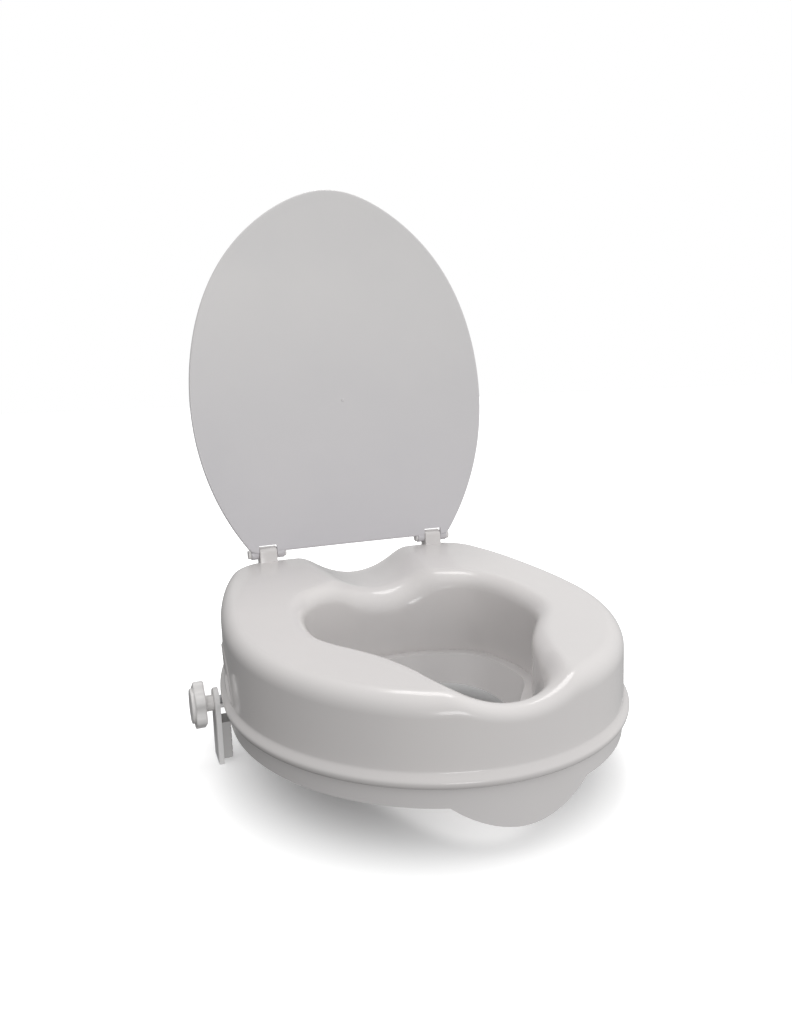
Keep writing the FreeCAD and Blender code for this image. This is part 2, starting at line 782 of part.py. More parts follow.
def clamp_knob():
    """A lobed hand knob with a plain shank that pushes the bracket."""
    body = new_body("clamp_knob_left")
    outline = new_sketch(body, "knob_outline", "XY_Plane", z="knob_inner")
    draw(outline, lobed_outline())
    disc = pad(body, outline, "knob_thickness", "knob_disc")
    rims = edges_where(disc, lambda p, e: abs(e.tangentAt(e.FirstParameter).z) < 0.5)
    fillet(body, disc, rims, "knob_round", "knob_rims")
    shank = new_sketch(body, "knob_shank_circle", "XY_Plane",
                       z="bracket_face + bracket_thickness + shank_gap")
    draw_circle(shank, "shank_radius")
    pad(body, shank, "knob_inner - bracket_face - bracket_thickness - shank_gap + 1",
        "knob_shank")
    cap_seat = new_sketch(body, "knob_cap_circle", "XY_Plane", z="knob_inner + knob_thickness")
    draw_circle(cap_seat, "cap_radius")
    pocket(body, cap_seat, "knob_cap_seat", "cap_seat")
    bore = new_sketch(body, "knob_bore_circle", "XY_Plane", z="screw_root")
    draw_circle(bore, "screw_radius")
    pocket(body, bore, "knob_bore", "screw_root - bracket_face")
    on_screw_axis(body)
    return body


def knob_cap():
    body = new_body("knob_cap_left")
    sketch = new_sketch(body, "cap_circle", "XY_Plane", z="knob_inner + knob_thickness - cap_seat")
    draw_circle(sketch, "cap_radius")
    disc = pad(body, sketch, "cap_thickness", "cap_disc")
    face = size("knob_inner") + size("knob_thickness") - size("cap_seat") + size("cap_thickness")
    names = edges_where(disc, lambda p, e: abs(p.z - face) < 0.01)
    fillet(body, disc, names, "cap_round", "cap_rim")
    on_screw_axis(body)
    return body


def clamp_screw():
    body = new_body("clamp_screw_left")
    sketch = new_sketch(body, "screw_circle", "XY_Plane", z="screw_tip")
    draw_circle(sketch, "screw_radius")
    shaft = pad(body, sketch, "screw_root - screw_tip", "screw_shaft")
    tip = edges_where(shaft, lambda p, e: abs(p.z - size("screw_tip")) < 0.01)
    chamfer = body.newObject("PartDesign::Chamfer", "screw_lead")
    chamfer.Base = (shaft, tip)
    bind(chamfer, "Size", "screw_lead")
    on_screw_axis(body)
    return body


def clamp_nut():
    blank = nut_prism("nut_blank", "nut_inner", "nut_length")
    bore = rod("nut_bore", "screw_radius + screw_clearance", "nut_length + 2", "nut_inner - 1",
               "clamp_place", "screw_height", along="X")
    return cut("clamp_nut_left", blank, [bore])


def screw_retainer():
    """The push-on ring behind the bracket that draws it outward with the screw."""
    place = "bracket_face - retainer_gap - retainer_thickness"
    outside = rod("retainer_outside", "retainer_radius", "retainer_thickness", place,
                  "clamp_place", "screw_height", along="X")
    inside = rod("retainer_inside", "screw_radius", "retainer_thickness", place,
                 "clamp_place", "screw_height", along="X")
    return cut("screw_retainer_left", outside, [inside])


# ---- Feet and fixings -------------------------------------------------------------------------

def rim_foot(place, x, y, turn):
    """A rubber foot under the rest plate, with grooves across its face."""
    body = new_body(f"rim_foot_{place}_left")
    sketch = new_sketch(body, f"foot_{place}_outline", "XY_Plane")
    draw_rectangle(sketch, "foot_length", "foot_width")
    block = pad(body, sketch, "plate_bottom", f"foot_{place}_block")
    corners = edges_where(block, lambda p, e: abs(e.tangentAt(e.FirstParameter).z) > 0.9)
    fillet(body, block, corners, "foot_round", f"foot_{place}_corners")
    groove = new_sketch(body, f"foot_{place}_groove", "XZ_Plane",
                        "foot_groove_margin - foot_length / 2", "0", "0")
    draw_circle(groove, "foot_groove_radius")
    first = pocket(body, groove, f"foot_{place}_first_groove", both_ways=True)
    row_of = body.newObject("PartDesign::LinearPattern", f"foot_{place}_grooves")
    row_of.Originals = [first]
    row_of.Direction = (groove, ["H_Axis"])
    bind(row_of, "Length", "foot_length - 2 * foot_groove_margin")
    row_of.Occurrences = GROOVES
    body.Tip = row_of
    body.Placement = Placement(Vector(x, y, 0), Rotation(Z_AXIS, turn))
    return body


def fixing_screws():
    """The group of self-tapping screws that hold the base ring to the shell's posts."""
    screws = []
    for number, (x, y) in enumerate(POSTS, start=1):
        head = rod(f"fixing_head_{number}", "fixing_head_radius", "fixing_head_height",
                   str(x), str(y), "plate_bottom - fixing_head_height")
        shaft = rod(f"fixing_shaft_{number}", "fixing_radius", "fixing_length",
                    str(x), str(y), "plate_bottom")
        screws += both(fuse(f"fixing_{number}", [head, shaft]))
    made = doc.addObject("Part::Compound", "fixing_screws")
    made.Links = screws
    return made


# ---- Assembly ---------------------------------------------------------------------------------

def right_of(source):
    return mirror(source, source.Name.replace("_left", "_right"))


parts = [seat_shell(), base_ring(), lid(), fixing_screws()]
handed = [
    hinge_pin(), hinge_cap(), clamp_bracket(), clamp_pad(), clamp_knob(), knob_cap(),
    clamp_screw(), clamp_nut(), screw_retainer(),
]
handed += [rim_foot(place, *where) for place, where in FEET.items()]
for piece in handed:
    parts += [piece, right_of(piece)]

doc.recompute()
for item in doc.Objects:
    if {"Invalid", "Error"} & set(item.State):
        raise RuntimeError(f"{item.Name} failed: {item.State}")

os.makedirs("parts", exist_ok=True)
for part in parts:
    part.Label = part.Name
    if part.Shape.isNull() or not part.Shape.isValid():
        raise RuntimeError(f"{part.Label} has no valid shape")
    part.Shape.exportStep(f"parts/{part.Label}.step")
    print(part.Label, round(part.Shape.Volume), "mm3,", len(part.Shape.Solids), "solids")
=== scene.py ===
"""The looks of the raised toilet seat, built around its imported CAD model.

Frame: +X to the user's left, -Y to the front, +Z up, in metres. Outlines and profiles are
worked out in millimetres, from the frame's boxes and a few sizes that repeat the part's, and
each mesh is scaled once when it is made.
"""
import json
import math

import bpy
import numpy as np
from mathutils import Matrix, Vector


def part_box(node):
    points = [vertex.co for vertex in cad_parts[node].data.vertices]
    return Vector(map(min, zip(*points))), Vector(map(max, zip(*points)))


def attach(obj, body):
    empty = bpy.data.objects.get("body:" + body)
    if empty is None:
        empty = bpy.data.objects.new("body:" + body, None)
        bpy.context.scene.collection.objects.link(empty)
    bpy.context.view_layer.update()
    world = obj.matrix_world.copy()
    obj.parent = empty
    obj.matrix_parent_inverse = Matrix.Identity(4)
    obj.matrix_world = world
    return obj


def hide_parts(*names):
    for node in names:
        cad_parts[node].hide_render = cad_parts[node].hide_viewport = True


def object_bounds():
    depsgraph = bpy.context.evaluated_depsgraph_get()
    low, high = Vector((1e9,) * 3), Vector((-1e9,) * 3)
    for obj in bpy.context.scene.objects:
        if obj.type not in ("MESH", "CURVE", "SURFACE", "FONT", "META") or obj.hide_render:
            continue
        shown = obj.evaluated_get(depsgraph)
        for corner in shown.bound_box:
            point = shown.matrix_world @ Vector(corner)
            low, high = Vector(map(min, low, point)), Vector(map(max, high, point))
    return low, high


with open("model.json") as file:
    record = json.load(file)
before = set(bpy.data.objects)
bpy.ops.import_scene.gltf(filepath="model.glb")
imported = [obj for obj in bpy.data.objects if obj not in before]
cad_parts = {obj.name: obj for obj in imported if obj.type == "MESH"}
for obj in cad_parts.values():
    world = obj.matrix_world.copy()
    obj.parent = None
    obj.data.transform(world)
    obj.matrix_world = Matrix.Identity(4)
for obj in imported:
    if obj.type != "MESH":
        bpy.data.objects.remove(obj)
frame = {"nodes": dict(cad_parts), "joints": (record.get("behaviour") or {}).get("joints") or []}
cad_low, cad_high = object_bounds()

MM = 0.001
HALF_TURN = math.pi
QUARTER = math.pi / 2


def box_mm(node):
    low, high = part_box(node)
    return low / MM, high / MM


# ---- Sizes in millimetres ---------------------------------------------------------------------

shell_low, shell_high = box_mm("seat_shell")
hinge = next(joint for joint in frame["joints"] if joint["name"] == "lid_hinge")
HINGE_Y = hinge["pos_m"][1] / MM
HINGE_Z = hinge["pos_m"][2] / MM

# Wall outline, seen from above
BEAD_DEPTH = 5.0
HALF_WIDTH = shell_high.x - BEAD_DEPTH
FRONT_REACH = -shell_low.y - BEAD_DEPTH
REAR_REACH = shell_high.y - BEAD_DEPTH
SIDE_RADIUS = 480.0
CORNER_RADIUS = 50.0

# Upper shell
PARTING = 16.0
BEAD_TOP = PARTING + 12.5
BEAD_NOSE = PARTING + 5.6
BEAD_TUCK = 4.0
WALL = 3.0
TOP_HEIGHT = 96.6
TOP_SLOPE = 0.07
OUTER_ROLL = 15.0
REAR_ROLL = 11.0
INNER_ROLL = 17.0
VALLEY_ROLL = 27.0
ROLL_SHARE = 0.95

# Dips in the rim
FRONT_DIP_FLOOR = 70.0
FRONT_DIP_RADIUS = 91.5
FRONT_DIP_END = -150.0
REAR_DIP_FLOOR = 87.0
REAR_DIP_RADIUS = 75.0
REAR_DIP_END = 60.0
DIP_RISE = 0.02
FRONT_BLEND = 4.0
REAR_BLEND = 8.0

# Arched recess over each clamp
ARCH_Y = 40.0
ARCH_Z = 17.4
ARCH_RADIUS = 48.6
ARCH_FLOOR = 174.0
ARCH_EDGE = 4.0
RIDGE_HEIGHT = 1.3
RIDGE_WIDTH = 1.7

# Half outlines from the rear to the front, each point (x, y)
APERTURE = [
    (0, 88), (30, 87), (60, 77), (87, 62), (102, 34), (108, -8), (104, -42),
    (85, -72), (66, -100), (52, -132), (39, -163), (22, -179), (0, -184),
]


# ---- Outlines ---------------------------------------------------------------------------------

def smooth_loop(half_points, steps=40):
    """Half of the closed cubic spline through a half outline and its mirror image."""
    mirrored = [(-x, y) for x, y in reversed(half_points[1:-1])]
    points = np.array(half_points + mirrored, float)
    count = len(points)
    gaps = np.linalg.norm(np.roll(points, -1, 0) - points, axis=1)
    system = np.zeros((count, count))
    pull = np.zeros((count, 2))
    for here in range(count):
        after = (here + 1) % count
        system[here, here - 1] = gaps[here - 1]
        system[here, here] = 2 * (gaps[here - 1] + gaps[here])
        system[here, after] = gaps[here]
        rise = (points[after] - points[here]) / gaps[here]
        fall = (points[here] - points[here - 1]) / gaps[here - 1]
        pull[here] = 6 * (rise - fall)
    bends = np.linalg.solve(system, pull)
    drawn = []
    for here in range(len(half_points) - 1):
        after = here + 1
        b = np.linspace(0, 1, steps, endpoint=False)[:, None]
        a = 1 - b
        bend = (a ** 3 - a) * bends[here] + (b ** 3 - b) * bends[after]
        drawn.append(a * points[here] + b * points[after] + bend * gaps[here] ** 2 / 6)
    drawn.append(np.array([half_points[-1]], float))
    return np.concatenate(drawn)


def arc(x, y, radius_x, radius_y, start, end, steps=200):
    turn = np.linspace(start, end, steps)
    return np.column_stack([x + radius_x * np.cos(turn), y + radius_y * np.sin(turn)])


def half_wall():
    """The wall's half outline: straight rear, corner arc, side arc and half-ellipse front."""
    side_x = HALF_WIDTH - SIDE_RADIUS
    corner_y = REAR_REACH - CORNER_RADIUS
    corner_x = side_x + math.sqrt((SIDE_RADIUS - CORNER_RADIUS) ** 2 - corner_y ** 2)
    meet = math.atan2(corner_y, corner_x - side_x)
    straight = np.column_stack([
        np.linspace(0, corner_x, 200), np.full(200, REAR_REACH),
    ])
    corner = arc(corner_x, corner_y, CORNER_RADIUS, CORNER_RADIUS, QUARTER, meet)
    side = arc(side_x, 0, SIDE_RADIUS, SIDE_RADIUS, meet, 0)
    front = arc(0, 0, HALF_WIDTH, FRONT_REACH, 0, -QUARTER)
    return np.concatenate([straight, corner[1:], side[1:], front[1:]])


class HalfOutline:
    """A half outline, read by the share of its length from the rear to the front."""

    def __init__(self, points):
        self.points = points
        steps = np.linalg.norm(np.diff(points, axis=0), axis=1)
        self.length = steps.sum()
        self.shares = np.concatenate([[0.0], np.cumsum(steps)]) / self.length

    def at(self, share):
        return np.column_stack([np.interp(share, self.shares, self.points[:, k]) for k in (0, 1)])

    def outward(self, share, step=1e-3):
        ahead = self.at(np.clip(share + step, 0, 1))
        behind = self.at(np.clip(share - step, 0, 1))
        along = ahead - behind
        normal = np.column_stack([-along[:, 1], along[:, 0]])
        normal[share <= 0] = (0, 1)
        normal[share >= 1] = (0, -1)
        return normal / np.linalg.norm(normal, axis=1)[:, None]


def smooth(value):
    """A smooth step from 0 to 1."""
    share = np.clip(value, 0, 1)
    return share * share * (3 - 2 * share)


def soft_min(a, b, reach):
    """The lower of two values, blended where they lie within reach of each other."""
    near = np.maximum(reach - np.abs(a - b), 0) / reach
    return np.minimum(a, b) - near ** 2 * reach / 4


# ---- Meshes -----------------------------------------------------------------------------------

def mesh_object(name, points, faces, sharp=35.0):
    """An object from points in millimetres, smooth but for edges sharper than the angle."""
    mesh = bpy.data.meshes.new(name)
    mesh.from_pydata((np.asarray(points) * MM).tolist(), [], faces)
    mesh.validate()
    mesh.shade_smooth()
    mesh.set_sharp_from_angle(angle=math.radians(sharp))
    made = bpy.data.objects.new(name, mesh)
    bpy.context.scene.collection.objects.link(made)
    return made


def loop_grid(rows):
    """Points and faces of a grid whose rows are closed loops of equal length."""
    count = len(rows[0])
    faces = []
    for row in range(len(rows) - 1):
        for column in range(count):
            after = (column + 1) % count
            faces.append((
                row * count + column, (row + 1) * count + column,
                (row + 1) * count + after, row * count + after,
            ))
    return np.concatenate(rows), faces


def whole_loop(half_row):
    """A row over the left half, joined to its mirror image."""
    other = half_row[-2:0:-1] * (-1, 1, 1)
    return np.concatenate([half_row, other])


def level(plan, height):
    return np.column_stack([plan, np.broadcast_to(height, len(plan))])


def apply_modifiers(made):
    """Replace the object's mesh by what its modifiers make of it."""
    graph = bpy.context.evaluated_depsgraph_get()
    final = bpy.data.meshes.new_from_object(made.evaluated_get(graph))
    made.modifiers.clear()
    made.data = final
    return made


def thicken(made, thickness):
    """Give an open sheet a wall behind its faces."""
    solid = made.modifiers.new("wall", "SOLIDIFY")
    solid.thickness = thickness * MM
    solid.offset = -1
    return apply_modifiers(made)


def join_solid(made, others, operation="UNION"):
    """Fuse other closed meshes into this one, or cut them out of it."""
    for other in others:
        blend = made.modifiers.new("join", "BOOLEAN")
        blend.operation = operation
        blend.solver = "EXACT"
        blend.object = other
    apply_modifiers(made)
    for other in others:
        bpy.data.objects.remove(other)
    return made


def smooth_by_angle(made, sharp=35.0):
    made.data.shade_smooth()
    made.data.set_sharp_from_angle(angle=math.radians(sharp))
    return made


# ---- Upper shell ------------------------------------------------------------------------------

def top_at(plan):
    """Height of the rim's top surface over a point of the plan."""
    x, y = plan[:, 0], plan[:, 1]
    plain = TOP_HEIGHT + TOP_SLOPE * y
    front = FRONT_DIP_FLOOR + x ** 2 / (2 * FRONT_DIP_RADIUS)
    front = front + DIP_RISE * np.maximum(y - FRONT_DIP_END, 0) ** 2
    rear = REAR_DIP_FLOOR + x ** 2 / (2 * REAR_DIP_RADIUS)
    rear = rear + DIP_RISE * np.maximum(REAR_DIP_END - y, 0) ** 2
    return soft_min(soft_min(plain, front, FRONT_BLEND), rear, REAR_BLEND)


def bead_offset(height):
    """How far the bead stands out at a height: a flare, a round nose and a tucked foot."""
    if height >= BEAD_NOSE:
        fall = (height - BEAD_NOSE) / (BEAD_TOP - BEAD_NOSE)
        return BEAD_DEPTH * (0.5 + 0.5 * math.cos(HALF_TURN * fall))
    tuck = (BEAD_NOSE - height) / (BEAD_NOSE - PARTING)
    return BEAD_DEPTH - BEAD_TUCK * (1 - math.sqrt(max(1 - tuck ** 2, 0)))


def arch_offset(plan, height):
    """The flat arched recess beside the clamp, with a raised ridge along its edge."""
    inside = ARCH_RADIUS - np.hypot(plan[:, 1] - ARCH_Y, height - ARCH_Z)
    depth = np.maximum(plan[:, 0] - ARCH_FLOOR, 0) * (plan[:, 0] > ARCH_FLOOR / 2)
    above_bead = smooth((height - BEAD_TOP + 2) / 4)
    ridge = RIDGE_HEIGHT * np.exp(-((inside + RIDGE_WIDTH) / RIDGE_WIDTH) ** 2)
    ridge = ridge * (plan[:, 0] > ARCH_FLOOR * 0.8)
    return above_bead * (ridge - depth * smooth(inside / ARCH_EDGE))


def column_shares(wall):
    """Shares of the half outline for the columns, closer together beside the clamp."""
    arch_ends = [
        np.interp(-edge, -wall.points[:, 1], wall.shares)
        for edge in (ARCH_Y + ARCH_RADIUS + 4, ARCH_Y - ARCH_RADIUS - 4)
    ]
    rear, front = arch_ends
    fine, plain = 1.3 / wall.length, 4.5 / wall.length
    return np.concatenate([
        np.linspace(0, rear, round(rear / plain), endpoint=False),
        np.linspace(rear, front, round((front - rear) / fine), endpoint=False),
        np.linspace(front, 1, round((1 - front) / plain)),
    ])


def shell_rows():
    """The shell's outer face as half rows, from the bead's foot over the rim and down inside."""
    wall = HalfOutline(half_wall())
    inner = HalfOutline(smooth_loop(APERTURE))
    shares = column_shares(wall)
    outside, out = wall.at(shares), wall.outward(shares)
    inside, away = inner.at(shares), inner.outward(shares)
    across = np.linalg.norm(outside - inside, axis=1)
    rearward = smooth((outside[:, 1] - 60) / 100)
    outer_roll = OUTER_ROLL + (REAR_ROLL - OUTER_ROLL) * rearward
    in_valley = smooth((inside[:, 1] - 40) / 40) * smooth((75 - inside[:, 0]) / 45)
    inner_roll = INNER_ROLL + (VALLEY_ROLL - INNER_ROLL) * in_valley
    fit = soft_min(np.ones(len(shares)), ROLL_SHARE * across / (outer_roll + inner_roll), 0.3)
    outer_roll, inner_roll = outer_roll * fit, inner_roll * fit

    rows = []
    for height in np.linspace(PARTING, BEAD_TOP, 16):
        rows.append(level(outside + out * bead_offset(height), height))
    wall_top = top_at(outside) - outer_roll
    for share in np.linspace(0, 1, 44)[1:-1]:
        height = BEAD_TOP + (wall_top - BEAD_TOP) * share
        rows.append(level(outside + out * arch_offset(outside, height)[:, None], height))
    for turn in np.linspace(0, QUARTER, 12):
        plan = outside - out * (outer_roll * (1 - math.cos(turn)))[:, None]
        rows.append(level(plan, top_at(plan) - outer_roll * (1 - math.sin(turn))))
    outer_end, inner_end = rows[-1][:, :2], inside + away * inner_roll[:, None]
    for share in np.linspace(0, 1, 16)[1:-1]:
        plan = outer_end + (inner_end - outer_end) * share
        rows.append(level(plan, top_at(plan)))
    for turn in np.linspace(QUARTER, 0, 12):
        plan = inside + away * (inner_roll * (1 - math.cos(turn)))[:, None]
        rows.append(level(plan, top_at(plan) - inner_roll * (1 - math.sin(turn))))
    edge = rows[-1][:, 2]
    for share in np.linspace(0, 1, 12)[1:]:
        rows.append(level(inside, edge + (PARTING - edge) * share))
    return rows


def make_shell():
    points, faces = loop_grid([whole_loop(row) for row in shell_rows()])
    shell = thicken(mesh_object("moulded_shell", points, faces), WALL)
    lugs = [make_lug(side) for side in (1, -1)]
    join_solid(shell, lugs)
    smooth_by_angle(shell)
    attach(shell, "seat")
    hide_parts("seat_shell")
    return shell


# ---- Hinge lugs and lid -----------------------------------------------------------------------

LUG_RADIUS = shell_high.z - HINGE_Z
LUG_WIDTH = 20.0
LUG_MIDDLE = 102.0
LUG_FLARE = 1.0
LUG_WRAP = 0.86
LUG_ROOT = 12.0
LUG_ROUND = 1.2


def extrude_x(name, outline, start, end, round_edge=0.0):
    """A closed outline in the YZ plane, pushed along X, with its edges rounded."""
    count = len(outline)
    points = [(x, y, z) for x in (start, end) for y, z in outline]
    sides = [
        (number, (number + 1) % count, count + (number + 1) % count, count + number)
        for number in range(count)
    ]
    caps = [tuple(reversed(range(count))), tuple(range(count, 2 * count))]
    made = mesh_object(name, points, sides + caps)
    if round_edge:
        bevel = made.modifiers.new("edges", "BEVEL")
        bevel.width = round_edge * MM
        bevel.segments = 3
        bevel.limit_method = "ANGLE"
        bevel.angle_limit = math.radians(40)
        apply_modifiers(made)
    return made


def make_lug(side):
    """An upright eye for the hinge pin, standing in the rim's top."""
    eye = arc(HINGE_Y, HINGE_Z, LUG_RADIUS, LUG_RADIUS, 0, HALF_TURN * LUG_WRAP, 24)
    foot = TOP_HEIGHT + TOP_SLOPE * HINGE_Y - WALL / 2
    front = eye[-1]
    flare = [
        (front[0] - LUG_FLARE * share ** 2, front[1] + (foot - front[1]) * share)
        for share in np.linspace(0.15, 1, 6)
    ]
    outline = [(HINGE_Y + LUG_RADIUS, foot - LUG_ROOT)] + [tuple(point) for point in eye] + flare
    outline.append((flare[-1][0], foot - WALL / 2))
    outline.append((HINGE_Y - LUG_RADIUS, foot - LUG_ROOT))
    inner, outer = side * (LUG_MIDDLE - LUG_WIDTH / 2), side * (LUG_MIDDLE + LUG_WIDTH / 2)
    return extrude_x("hinge_lug", outline, min(inner, outer), max(inner, outer), LUG_ROUND)


LID_HALF_WIDTH = 175.5
LID_HALF_LENGTH = 238.0
LID_MIDDLE = 170.0
FRONT_TAPER = 0.16
REAR_TAPER = 0.06
LID_EDGE = 1.5
LID_CORNER = 13.0
LID_THICKNESS = 3.5
LID_DOME = 8.2
LID_DOME_RATIO = 2.5
LID_NOTCH = 9.5
LID_OPEN = math.radians(-94.2)
GATE_HEIGHT = 0.5
EAR_WIDTH = 8.5
EAR_GAP = 0.4
EAR_RADIUS = 6.2
EAR_ROUND = 0.8
CUTTER_REACH = 20.0


def lid_outline():
    """Half outline of the closed lid, from the middle of its straight edge to its front."""
    edge = -LID_EDGE
    corner_y = edge - LID_CORNER
    turn = math.asin((corner_y + LID_MIDDLE) / (LID_HALF_LENGTH - LID_CORNER))
    corner_x = (LID_HALF_WIDTH - LID_CORNER) * math.cos(turn)
    lean = math.atan2(
        math.sin(turn) / LID_HALF_LENGTH, math.cos(turn) / LID_HALF_WIDTH
    )
    corner = arc(corner_x, corner_y, LID_CORNER, LID_CORNER, QUARTER, lean, 12)
    front = arc(0, -LID_MIDDLE, LID_HALF_WIDTH, LID_HALF_LENGTH, turn, -QUARTER, 90)
    whole = np.concatenate([[(0, edge)], corner, front[1:]])
    along = (whole[:, 1] + LID_MIDDLE) / LID_HALF_LENGTH
    whole[:, 0] *= 1 - np.where(along < 0, FRONT_TAPER * along ** 6, REAR_TAPER * along ** 2)
    return whole


def dome_height(plan):
    """Height of the lid's underside over its level edge plane."""
    ratio = LID_DOME_RATIO
    rise = LID_DOME / (1 - math.sqrt(1 - 1 / ratio ** 2))
    x = plan[:, 0] / (LID_HALF_WIDTH * ratio)
    y = (plan[:, 1] + LID_MIDDLE) / (LID_HALF_LENGTH * ratio)
    return rise * np.sqrt(np.maximum(1 - x ** 2 - y ** 2, 0)) - rise


def lid_rows():
    """Rings of the lid from the middle of its underside, round the edge, to the top's middle."""
    half = lid_outline()
    middle = np.array([0, -LID_MIDDLE])
    steps = np.linalg.norm(np.diff(half, axis=0), axis=1)
    walk = np.concatenate([[0], np.cumsum(steps)])
    places = np.unique(np.concatenate([walk, np.linspace(0, walk[-1], 150)]))
    edge = np.column_stack([np.interp(places, walk, half[:, k]) for k in (0, 1)])
    reach = np.linalg.norm(edge - middle, axis=1)[:, None]
    towards = (edge - middle) / reach

    def ring(inset, above):
        plan = middle + towards * np.maximum(reach - inset, 0)
        return level(plan, dome_height(plan) + above)

    rings = []
    spread = [0.991, 0.97, 0.9, 0.8, 0.7, 0.6, 0.5, 0.4, 0.3, 0.2, 0.12, 0.05, 0.02]
    round_half = LID_THICKNESS / 2
    rings.append(ring(reach * 0.994, -GATE_HEIGHT))
    for share in spread:
        rings.append(ring(reach * share, 0))
    for turn in np.linspace(-QUARTER, QUARTER, 9):
        inset = round_half * (1 - math.cos(turn))
        rings.append(ring(inset, round_half * (1 + math.sin(turn))))
    for share in reversed(spread):
        rings.append(ring(reach * share, LID_THICKNESS))
    return rings


def make_lid():
    rings = [whole_loop(ring) for ring in lid_rows()]
    points, faces = loop_grid(rings)
    count = len(rings[0])
    last = len(points) - count
    faces.append(tuple(range(count)))
    faces.append(tuple(reversed(range(last, last + count))))
    lid = mesh_object("domed_lid", points, faces)
    reach = LUG_WIDTH / 2 + EAR_GAP
    notch = [
        (-LID_NOTCH, -CUTTER_REACH), (CUTTER_REACH, -CUTTER_REACH),
        (CUTTER_REACH, CUTTER_REACH), (-LID_NOTCH, CUTTER_REACH),
    ]
    notches, ears = [], []
    for middle in (LUG_MIDDLE, -LUG_MIDDLE):
        inner, outer = middle - reach, middle + reach
        notches.append(extrude_x("lug_notch", notch, inner, outer))
        ears += [make_ear(inner - EAR_WIDTH, inner), make_ear(outer, outer + EAR_WIDTH)]
    join_solid(lid, notches, "DIFFERENCE")
    join_solid(lid, ears)
    smooth_by_angle(lid)
    hinge_place = Matrix.Translation(Vector((0, HINGE_Y, HINGE_Z)) * MM)
    swing = hinge_place @ Matrix.Rotation(LID_OPEN, 4, "X")
    lid.data.transform(swing)
    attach(lid, "lid")
    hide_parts("lid")
    return lid


def make_ear(low, high):
    """A round eye that stands on the lid's straight edge."""
    eye = arc(0, 0, EAR_RADIUS, EAR_RADIUS, 0, 2 * HALF_TURN, 33)[:-1]
    return extrude_x("lid_ear", [tuple(point) for point in eye], low, high, EAR_ROUND)


# ---- Materials --------------------------------------------------------------------------------

def new_material(name):
    made = bpy.data.materials.new(name)
    made.use_nodes = True
    nodes = made.node_tree.nodes
    return made, nodes, made.node_tree.links, nodes["Principled BSDF"]


def noise(nodes, links, scale, detail, place):
    made = nodes.new("ShaderNodeTexNoise")
    made.inputs["Scale"].default_value = scale
    made.inputs["Detail"].default_value = detail
    links.new(place.outputs["Object"], made.inputs["Vector"])
    return made


def ramp(nodes, links, source, low, high, colours):
    made = nodes.new("ShaderNodeValToRGB")
    made.color_ramp.elements[0].position = low
    made.color_ramp.elements[1].position = high
    for element, colour in zip(made.color_ramp.elements, colours):
        element.color = (*colour, 1)
    links.new(source, made.inputs["Fac"])
    return made


def moulded(name, colour, tint, gloss, grain=0.05, grain_scale=420.0, coat=0.0):
    """Moulded plastic or rubber: cloudy tint, uneven gloss and a fine grain."""
    made, nodes, links, shader = new_material(name)
    place = nodes.new("ShaderNodeTexCoord")
    cloud = noise(nodes, links, 9.0, 3.0, place)
    tone = ramp(nodes, links, cloud.outputs["Fac"], 0.35, 0.65, (colour, tint))
    links.new(tone.outputs["Color"], shader.inputs["Base Color"])
    smear = noise(nodes, links, 38.0, 6.0, place)
    spread = nodes.new("ShaderNodeMapRange")
    spread.inputs["From Min"].default_value = 0.3
    spread.inputs["From Max"].default_value = 0.7
    spread.inputs["To Min"].default_value = gloss[0]
    spread.inputs["To Max"].default_value = gloss[1]
    links.new(smear.outputs["Fac"], spread.inputs["Value"])
    links.new(spread.outputs["Result"], shader.inputs["Roughness"])
    fine = noise(nodes, links, grain_scale, 2.0, place)
    bump = nodes.new("ShaderNodeBump")
    bump.inputs["Strength"].default_value = grain
    bump.inputs["Distance"].default_value = 0.2 * MM
    links.new(fine.outputs["Fac"], bump.inputs["Height"])
    links.new(bump.outputs["Normal"], shader.inputs["Normal"])
    shader.inputs["IOR"].default_value = 1.49
    shader.inputs["Coat Weight"].default_value = coat
    shader.inputs["Coat Roughness"].default_value = 0.05
    return made


def darken_low(made, low, high, shade):
    """Tint the plastic by height in metres: full shade at the low one, none at the high one."""
    nodes, links = made.node_tree.nodes, made.node_tree.links
    shader = nodes["Principled BSDF"]
    plain = shader.inputs["Base Color"].links[0].from_socket
    place = nodes.new("ShaderNodeTexCoord")
    split = nodes.new("ShaderNodeSeparateXYZ")
    links.new(place.outputs["Object"], split.inputs["Vector"])
    height = nodes.new("ShaderNodeMapRange")
    height.inputs["From Min"].default_value = low
    height.inputs["From Max"].default_value = high
    links.new(split.outputs["Z"], height.inputs["Value"])
    tone = ramp(nodes, links, height.outputs["Result"], 0.0, 1.0, (shade, (1.0, 1.0, 1.0)))
    blend = nodes.new("ShaderNodeMix")
    blend.data_type = "RGBA"
    blend.blend_type = "MULTIPLY"
    blend.inputs["Factor"].default_value = 1.0
    first, second = [socket for socket in blend.inputs if socket.type == "RGBA"]
    links.new(plain, first)
    links.new(tone.outputs["Color"], second)
    result = [socket for socket in blend.outputs if socket.type == "RGBA"][0]
    links.new(result, shader.inputs["Base Color"])


